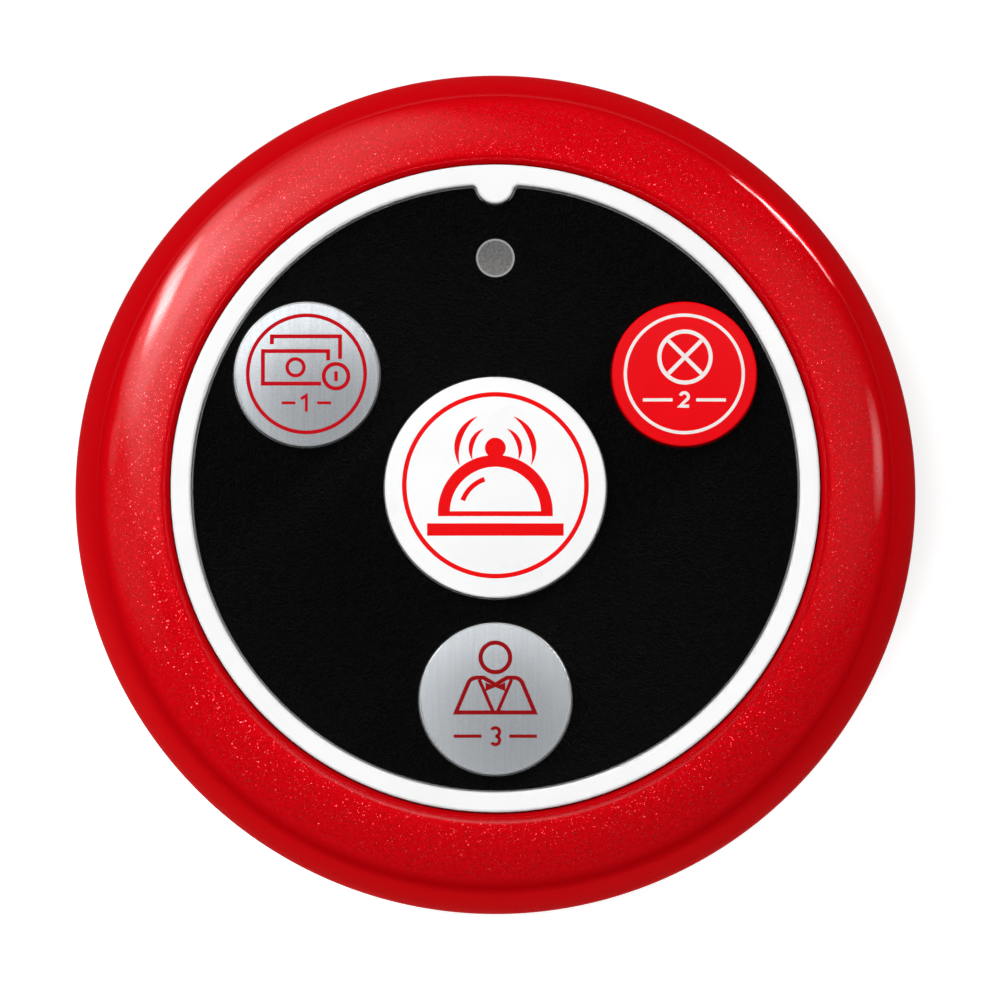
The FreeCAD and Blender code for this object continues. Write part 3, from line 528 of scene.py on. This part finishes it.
# How far the skin stands off the rim and reaches into it in millimetres, and how many
# sections it has round Z.
SKIN_LIFT = 0.004
SKIN_DEPTH = 0.1
SKIN_TURNS = 720


def unit(rows):
    """Each row divided by its length."""
    return rows / np.linalg.norm(rows, axis=1)[:, None]


def mesh_piece(name, points, faces, material, body):
    """A piece from arrays of points and of four-cornered faces, smooth over shallow angles."""
    mesh = bpy.data.meshes.new(name)
    mesh.from_pydata(points.tolist(), [], faces.tolist())
    mesh.materials.append(material)
    mesh.shade_smooth()
    mesh.set_sharp_from_angle(angle=math.radians(30))
    obj = bpy.data.objects.new(name, mesh)
    bpy.context.scene.collection.objects.link(obj)
    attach(obj, body)


def turned(section, turns):
    """Points and faces of a closed section turned about Z: the section's point (r, z) is
    at (r cos t, r sin t, z) in turn t. The section runs clockwise seen with r to the right."""
    count = len(section)
    turn = np.linspace(0, 2 * np.pi, turns, endpoint=False)[:, None]
    across, level = section[:, 0], np.broadcast_to(section[:, 1], (turns, count))
    points = np.stack([np.cos(turn) * across, np.sin(turn) * across, level], axis=-1)
    row, step = np.meshgrid(np.arange(turns), np.arange(count), indexing="ij")
    here, after = row * count, (row + 1) % turns * count
    beside = (step + 1) % count
    faces = np.stack([here + step, after + step, after + beside, here + beside], axis=-1)
    return points.reshape(-1, 3), faces.reshape(-1, 4)


def bow(across, level, radius, start, end, steps):
    """Points of an arc about (across, level) in the section, between leans in degrees from
    +Z towards outside."""
    lean = np.radians(np.linspace(start, end, steps))
    return np.stack([across + radius * np.sin(lean), level + radius * np.cos(lean)], axis=1)


def rim_skin():
    """The rim's paint as a thin closed skin over the housing. Its section runs over a
    quarter-round lip, a crown arc and two side arcs, each side arc tangent to the arc
    before it, and comes back a little deeper inside."""
    low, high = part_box("upper_housing")
    body, seam, lip_level = high.x / MM, low.z / MM, high.z / MM
    lip_across = RIM_BORE + RIM_LIP
    shoulder = math.radians(RIM_SHOULDER)
    crown_across = body - RIM_SIDE - (RIM_CROWN - RIM_SIDE) * math.sin(shoulder)
    crown_level = lip_level - math.sqrt(RIM_CROWN**2 - (lip_across - crown_across) ** 2)
    waist = crown_level + (RIM_CROWN - RIM_SIDE) * math.cos(shoulder)
    lip_lean = math.degrees(math.asin((lip_across - crown_across) / RIM_CROWN))
    seam_lean = 90 + math.degrees(math.asin((waist - seam) / RIM_UNDER))
    outside = np.concatenate([
        bow(lip_across, lip_level - RIM_LIP, RIM_LIP, -90, 0, 9),
        bow(crown_across, crown_level, RIM_CROWN, lip_lean, RIM_SHOULDER, 40)[1:],
        bow(body - RIM_SIDE, waist, RIM_SIDE, RIM_SHOULDER, 90, 36)[1:],
        bow(body - RIM_UNDER, waist, RIM_UNDER, 90, seam_lean, 12)[1:],
    ])
    ahead = np.gradient(outside, axis=0)
    outward = unit(np.stack([-ahead[:, 1], ahead[:, 0]], axis=1))
    inside = outside - outward * SKIN_DEPTH
    section = np.concatenate([outside + outward * SKIN_LIFT, inside[::-1]])
    section[:, 0] = np.minimum(section[:, 0], body)
    section[:, 1] = np.clip(section[:, 1], seam, lip_level)
    points, faces = turned(section, SKIN_TURNS)
    mesh_piece("rim_skin", points * MM, faces, FINISHES["rim_paint"], "housing")


def coil_copy(key):
    """The key's return spring as a piece of its own on the housing, in place of the CAD
    spring, which is hidden."""
    obj = bpy.data.objects.new(key + "_coil", nodes[key + "_spring"].data.copy())
    bpy.context.scene.collection.objects.link(obj)
    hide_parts(key + "_spring")
    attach(obj, "housing")
    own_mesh(obj)


# ---------------------------------------------------------------- printed marks on the keys
# Marks are drawn in millimetres about the key's middle, x to the right and y away. The ink
# stands INK_HEIGHT over the key and reaches INK_DEPTH into it. The key's flange, round edge
# and crown are as in the CAD model, and the longest step of a straight line is LINE_STEP.
INK_HEIGHT = 0.005
INK_DEPTH = 0.02
KEY_FLANGE = 0.7
KEY_EDGE_ROUND = 0.2
KEY_CROWN = 0.25
LINE_STEP = 0.4


def arc(x, y, radius, start, end, steps=49):
    """Points on a circle about (x, y), from start to end degrees."""
    turn = np.radians(np.linspace(start, end, steps))
    return np.stack([x + radius * np.cos(turn), y + radius * np.sin(turn)], axis=1)


def run(*corners):
    """Points along straight runs between corners."""
    corners = np.array(corners, float)
    spans = []
    for first, second in zip(corners, corners[1:]):
        count = max(2, int(np.ceil(np.hypot(*(second - first)) / LINE_STEP)) + 1)
        spans.append(first + (second - first) * np.linspace(0, 1, count)[:-1, None])
    return np.concatenate([*spans, corners[-1:]])


def side_lines(path, width, closed):
    """Lines half a width to the left and right of a path. At a bend they lie on the
    bisector, further out by one over the cosine of half the bend."""
    if closed:
        before, after = path - np.roll(path, 1, 0), np.roll(path, -1, 0) - path
    else:
        steps = np.diff(path, axis=0)
        before, after = np.concatenate([steps[:1], steps]), np.concatenate([steps, steps[-1:]])
    after = unit(after)
    middle = unit(unit(before) + after)
    reach = width / 2 / np.maximum(0.5, (middle * after).sum(1))
    across = np.stack([-middle[:, 1], middle[:, 0]], axis=1) * reach[:, None]
    return path + across, path - across


def inlay(left, right, closed=False, columns=3):
    """A thin closed slab between two lines of points, lying on the key. Its section is a
    loop: along the top from left to right, and back below. If closed, its last section is
    joined to its first."""
    share = np.linspace(0, 1, columns)[None, :, None]
    sheet = left[:, None, :] * (1 - share) + right[:, None, :] * share
    rows = len(left)
    top, below = [
        np.concatenate([sheet, np.full((rows, columns, 1), level)], axis=2)
        for level in (INK_HEIGHT, -INK_DEPTH)
    ]
    points = np.concatenate([top, below[:, ::-1]], axis=1).reshape(-1, 3)
    loop, spans = 2 * columns, rows if closed else rows - 1
    row, column = np.meshgrid(np.arange(spans), np.arange(loop), indexing="ij")
    here, after = row * loop, (row + 1) % rows * loop
    beside = (column + 1) % loop
    corners = [here + column, here + beside, after + beside, after + column]
    faces = np.stack(corners, axis=-1).reshape(-1, 4)
    if not closed:
        step = np.arange(columns - 1)
        cap = np.stack([step, loop - 1 - step, loop - 2 - step, step + 1], axis=1)
        faces = np.concatenate([faces, cap, cap[:, ::-1] + (rows - 1) * loop])
    return points, faces


def stroke(path, width, closed=False):
    """A line of a given width along a path."""
    return inlay(*side_lines(path, width, closed), closed)


def ring(x, y, outer, width):
    """A ring of a given outer radius and line width."""
    return stroke(arc(x, y, outer - width / 2, 0, 360, 121)[:-1], width, closed=True)


def disc(x, y, radius):
    """A filled circle, ruled between its left and right half from bottom to top."""
    left = arc(x, y, radius, 269.9, 90.1, 33)
    right = arc(x, y, radius, -89.9, 89.9, 33)
    return inlay(left, right, columns=9)


def crescent(x, y, radius, start, end, width):
    """An arc whose width swells in the middle and runs out at both ends."""
    path = arc(x, y, radius, start, end)
    swell = np.sin(np.linspace(0.06, np.pi - 0.06, len(path)))[:, None]
    half = (path - [x, y]) / radius * swell * width / 2
    return inlay(path - half, path + half)


def numeral(digit, x, y, height, width):
    """A plain stroked digit centred on (x, y)."""
    half, bowl = height / 2, height / 4
    foot = y - half + width / 2
    shapes = {
        1: [run((x - 0.3 * height, y + 0.22 * height), (x, y + half - width / 2), (x, y - half))],
        2: [np.concatenate([
            arc(x, y + half - bowl - width / 4, bowl, 165, -35, 25),
            run((x - 0.28 * height, foot), (x + 0.3 * height, foot)),
        ])],
        3: [
            arc(x, y + bowl - width / 4, bowl - width / 4, 150, -90, 25),
            arc(x, y - bowl + width / 4, bowl - width / 4, 90, -150, 25),
        ],
    }
    return [stroke(path, width) for path in shapes[digit]]


def numbered(digit, y, height, width, gap, end):
    """A digit between two bars that reach from gap to end either side of it."""
    bars = [stroke(run((side * gap, y), (side * end, y)), width) for side in (-1, 1)]
    return [*numeral(digit, 0, y, height, width), *bars]


def bell_sign():
    """A table bell: bar, dome, knob, glint, and sound arcs on both sides."""
    parts = [
        stroke(run((-6.9, -4.3), (6.9, -4.3)), 1.25),
        stroke(arc(0, -2.55, 5.2, 0, 180), 1.2),
        stroke(run((-5.8, -2.7), (5.8, -2.7)), 0.5),
        disc(0, 3.95, 1.05),
        stroke(arc(0, -2.55, 3.5, 108, 160, 25), 0.5),
    ]
    for radius, width in ((2.5, 0.5), (3.9, 0.62)):
        for middle in (20, 160):
            parts.append(crescent(0, 3.7, radius, middle - 42, middle + 42, width))
    return parts


def notes_sign():
    """Two banknotes and a coin in outline."""
    return [
        stroke(run((1.5, -1.0), (-4.4, -1.0), (-4.4, 2.3), (2.2, 2.3), (2.2, 1.35)), 0.4),
        stroke(run((-3.5, 3.0), (-3.5, 3.8), (3.4, 3.8), (3.4, 1.5)), 0.4),
        stroke(arc(-1.1, 0.65, 0.85, 0, 360, 49)[:-1], 0.36, closed=True),
        ring(3.0, -0.25, 1.45, 0.4),
        stroke(run((3.0, -0.75), (3.0, 0.25)), 0.36),
    ]


def crossed_ring_sign():
    """A ring with a diagonal cross."""
    x, y, arm = 0.07, 1.7, 1.67
    return [
        ring(x, y, 2.8, 0.41),
        stroke(run((x - arm, y - arm), (x + arm, y + arm)), 0.41),
        stroke(run((x - arm, y + arm), (x + arm, y - arm)), 0.41),
    ]


def curve(start, pull, end, steps=13):
    """A quadratic curve from start to end, drawn towards the point pull."""
    share = np.linspace(0, 1, steps)[:, None]
    start, pull, end = np.array(start), np.array(pull), np.array(end)
    return start * (1 - share) ** 2 + pull * 2 * share * (1 - share) + end * share**2


def waiter_sign():
    """A head and a jacket with round shoulders, lapels and a bow tie."""
    left = np.concatenate([
        run((-3.98, -1.41), (-2.75, 1.5)),
        curve((-2.75, 1.5), (-2.5, 2.1), (-1.8, 2.1))[1:],
        run((-1.8, 2.1), (-1.2, 2.1), (0, 1.4))[1:],
    ])
    right = left[::-1] * [-1, 1]
    outline = np.concatenate([left, right[1:], run((3.98, -1.41), (-3.98, -1.41))[1:-1]])
    parts = [
        ring(0, 4.15, 1.71, 0.44),
        stroke(outline, 0.42, closed=True),
        stroke(run((-1.63, 1.9), (-0.25, -1.3)), 0.36),
        stroke(run((1.63, 1.9), (0.25, -1.3)), 0.36),
    ]
    for side in (-1, 1):
        upper = run((0, 1.22), (side, 1.63))
        lower = run((0, 1.14), (side, 0.73))
        parts.append(inlay(lower, upper) if side < 0 else inlay(upper, lower))
    return parts


def print_on(key, parts, ink):
    """The parts of a mark as one piece on its key: millimetres to metres, each point
    lifted by the height of the key's crown there, a sphere through its top edge. None
    stands above the crown's middle."""
    low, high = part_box(key + "_key")
    radius = (high.x - low.x) / 2 / MM - KEY_FLANGE
    edge = radius - KEY_EDGE_ROUND
    sphere = (edge**2 + KEY_CROWN**2) / (2 * KEY_CROWN)
    points, faces, count = [], [], 0
    for part_points, part_faces in parts:
        points.append(part_points)
        faces.append(part_faces + count)
        count += len(part_points)
    points = np.concatenate(points)
    points[:, 2] += np.sqrt(sphere**2 - (points[:, :2] ** 2).sum(1)) - sphere
    points[:, 2] = np.minimum(points[:, 2], 0)
    points = points * MM + [(low.x + high.x) / 2, (low.y + high.y) / 2, high.z]
    faces = np.concatenate(faces)
    mesh_piece(key + "_print", points, faces, ink, key + "_key")


MARKS = {
    "call": [ring(0, 0.2, 9.44, 0.465), *bell_sign()],
    "pay": [ring(0, 0, 6.13, 0.38), *notes_sign(), *numbered(1, -2.95, 1.8, 0.3, 1.1, 2.5)],
    "cancel": [
        ring(0, 0, 6.13, 0.33), *crossed_ring_sign(), *numbered(2, -2.65, 1.6, 0.32, 1.2, 4.2),
    ],
    "order": [*waiter_sign(), *numbered(3, -3.8, 2.03, 0.34, 1.4, 4.2)],
}
INKS = {
    "call": print_ink("bright_red_ink", (0.93, 0.0005, 0.002)),
    "pay": print_ink("deep_red_ink", (0.56, 0.001, 0.008)),
    "cancel": print_ink("white_ink", (0.96, 0.87, 0.85)),
    "order": print_ink("dark_red_ink", (0.3, 0.0005, 0.003)),
}
rim_skin()
for key in MARKS:
    coil_copy(key)
for key, parts in MARKS.items():
    print_on(key, parts, INKS[key])


# ---------------------------------------------------------------- table and surroundings
# The floor's half width, the middle of its palest patch, a painted pool of light, distances
# from there from which and up to which it gets darker, and its colours at both.
FLOOR_HALF = 3.0
LIT_PATCH_MIDDLE = (-18 * MM, -75 * MM, 0.0)
LIT_PATCH_CHANGE = (66 * MM, 100 * MM)
LIT_PATCH_COLOURS = ((0.92, 0.92, 0.92), (0.43, 0.43, 0.43))

# The floor's own glow: its middle, distances from there from which and up to which it
# fades, its strength at both, and how much of it shows in gloss.
GLOW_MIDDLE = (0.0, -30 * MM, 0.0)
GLOW_CHANGE = (86 * MM, 150 * MM)
GLOW_STRENGTHS = (0.68, 0.26)
GLOW_IN_GLOSS = 0.45


def table_top():
    """A wide pale floor, with a pool of light painted as a palest patch in front of the object.
    It also glows where it is seen directly or through clear plastic, and less in gloss. The glow
    lifts it to white near the object and leaves a faint shadow."""
    half = FLOOR_HALF
    corners = [(-half, -half, 0), (half, -half, 0), (half, half, 0), (-half, half, 0)]
    mesh = bpy.data.meshes.new("table_top")
    mesh.from_pydata(corners, [], [(0, 1, 2, 3)])
    material = bpy.data.materials.new("table_top")
    material.use_nodes = True
    tree = material.node_tree
    tree.nodes.clear()
    place = add(tree, "TexCoord").outputs["Object"]
    from_lit_patch = vector_node(tree, "SUBTRACT", place, LIT_PATCH_MIDDLE)
    # Painted pool of light: the floor's colour is palest in the patch and darker beyond it.
    darker = ramp(tree, vector_node(tree, "LENGTH", from_lit_patch), *LIT_PATCH_CHANGE)
    lit = add(tree, "BsdfDiffuse", {"Color": mixed(tree, darker, *LIT_PATCH_COLOURS)}).outputs[0]
    from_glow = vector_node(tree, "SUBTRACT", place, GLOW_MIDDLE)
    strength = ramp(tree, vector_node(tree, "LENGTH", from_glow), *GLOW_CHANGE, *GLOW_STRENGTHS)
    rays = add(tree, "LightPath").outputs
    gloss = math_node(tree, "MULTIPLY", rays["Is Glossy Ray"], GLOW_IN_GLOSS)
    seen = math_node(tree, "MAXIMUM", rays["Is Camera Ray"], gloss)
    seen = math_node(tree, "MAXIMUM", seen, rays["Is Transmission Ray"])
    strength = math_node(tree, "MULTIPLY", seen, strength)
    glow = add(tree, "Emission", {"Color": (1.0, 1.0, 1.0), "Strength": strength}).outputs[0]
    both = add(tree, "AddShader", {0: lit, 1: glow}).outputs[0]
    below = add(tree, "NewGeometry").outputs["Backfacing"]
    clear = add(tree, "BsdfTransparent").outputs[0]
    shown = add(tree, "MixShader", {0: below, 1: both, 2: clear}).outputs[0]
    feed(tree, add(tree, "OutputMaterial").inputs["Surface"], shown)
    mesh.materials.append(material)
    floor = bpy.data.objects.new("table_top", mesh)
    bpy.context.scene.collection.objects.link(floor)


# The sky by elevation in degrees: the grey gets lighter, the ring of light overhead sets
# in, and it gives way to the light inside it. Ring and inner light lean to one side: the
# azimuth of that side, how much is added there and taken away opposite, and the middle.
GREY_CHANGE = (8, 20)
GREY_LEVELS = (0.015, 0.028)
RING_START = (69, 73)
RING_END = (77, 81)
RING_LEAN = (135, 12.0, 9.0)
INNER_LEAN = (150, 3.2, 1.0)

# Soft glows in the sky: azimuth, elevation, half widths of the bright middle and of the
# whole in degrees, and brightness.
GLOWS = (
    (150.5, 27.5, 0.5, 6, 2.6),
    (148.5, 25.2, 0.5, 5.5, 6.2),
    (146, 22.5, 0.5, 5.5, 7.2),
    (143, 18.8, 0.5, 5.5, 5.2),
    (141, 15, 0.5, 6, 3.2),
    (136, 16, 1, 14, 1.4),
    (148, 29, 1, 20, 1.8),
    (147, 42, 4, 22, 0.675),
    (144, 52, 6, 28, 0.525),
    (125, 24, 8, 30, 0.45),
    (120, 38, 8, 30, 0.375),
    (53, 4, 0.5, 3, 12.0),
    (49, 3, 0.5, 3, 22.5),
    (45, 2.2, 0.5, 3, 30.0),
    (46, 5, 0.5, 4, 6.8),
    (41, 1.6, 0.5, 3, 22.5),
    (37, 1, 0.5, 3, 12.0),
    (14, 18.5, 0.5, 6, 0.675),
    (11, 20, 0.5, 6, 0.9),
    (8, 21.5, 0.5, 6, 0.9),
    (5, 23, 0.5, 6, 0.675),
    (20, 45, 5, 32, 0.15),
    (180, 34, 2, 22, 0.18),
    (168.5, 21, 1, 6, 0.375),
)


def surroundings():
    """Plain grey all round, dim near the table, with soft glows and a ring of light
    overhead. A glow rises smoothly with the cosine of the angle from its middle."""
    world = bpy.data.worlds.new("surroundings")
    bpy.context.scene.world = world
    world.use_nodes = True
    tree = world.node_tree
    tree.nodes.clear()
    direction = add(tree, "TexCoord").outputs["Generated"]
    height = add(tree, "SeparateXYZ", {0: direction}).outputs["Z"]

    def rising(change, levels=(0.0, 1.0)):
        low, high = (math.sin(math.radians(elevation)) for elevation in change)
        return ramp(tree, height, low, high, *levels)

    def facing(azimuth, elevation):
        return vector_node(tree, "DOT_PRODUCT", direction, tuple(towards(azimuth, elevation)))

    def leaning(azimuth, slope, level):
        return math_node(tree, "MULTIPLY_ADD", facing(azimuth, 0), slope, level)

    ring_band = math_node(tree, "MULTIPLY", rising(RING_START), rising(RING_END, (1.0, 0.0)))
    ring_light = math_node(tree, "MULTIPLY", ring_band, leaning(*RING_LEAN))
    inner_light = math_node(tree, "MULTIPLY", rising(RING_END), leaning(*INNER_LEAN))
    overhead = math_node(tree, "ADD", ring_light, inner_light)
    light = math_node(tree, "ADD", rising(GREY_CHANGE, GREY_LEVELS), overhead)
    for azimuth, elevation, middle, whole, brightness in GLOWS:
        edge, top = math.cos(math.radians(whole)), math.cos(math.radians(middle))
        glow = ramp(tree, facing(azimuth, elevation), edge, top, 0.0, brightness)
        light = math_node(tree, "ADD", light, glow)
    sky = add(tree, "Background", {"Color": (1.0, 1.0, 1.0), "Strength": light}).outputs[0]
    feed(tree, add(tree, "OutputWorld").inputs["Surface"], sky)


table_top()
surroundings()
